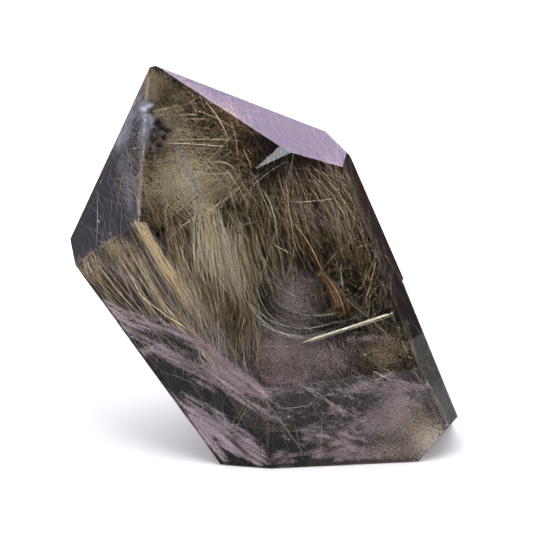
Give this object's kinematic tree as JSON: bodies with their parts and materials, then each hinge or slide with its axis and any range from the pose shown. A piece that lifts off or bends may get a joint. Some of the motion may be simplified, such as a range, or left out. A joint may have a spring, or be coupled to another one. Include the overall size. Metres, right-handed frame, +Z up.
{
  "type": "rutilated quartz",
  "caption": "Polished smoky quartz point filled with golden rutile needles, standing on its cut foot and leaning to one side.",
  "frame": {"origin": "middle of the bounding box at the level of the flat foot", "axes": "+Z up from the foot, -Y out of the wide front face, the tip leans towards -X"},
  "size_m": [0.0788, 0.0422, 0.0791],
  "materials": {
    "quartz": "polished clear to smoky",
    "rutile": "fine golden needles"
  },
  "bodies": {
    "root": {"quartz_crystal": "quartz", "quartz_crystal_front": "quartz", "rutile_sheaves": "rutile"}
  },
  "joints": []
}
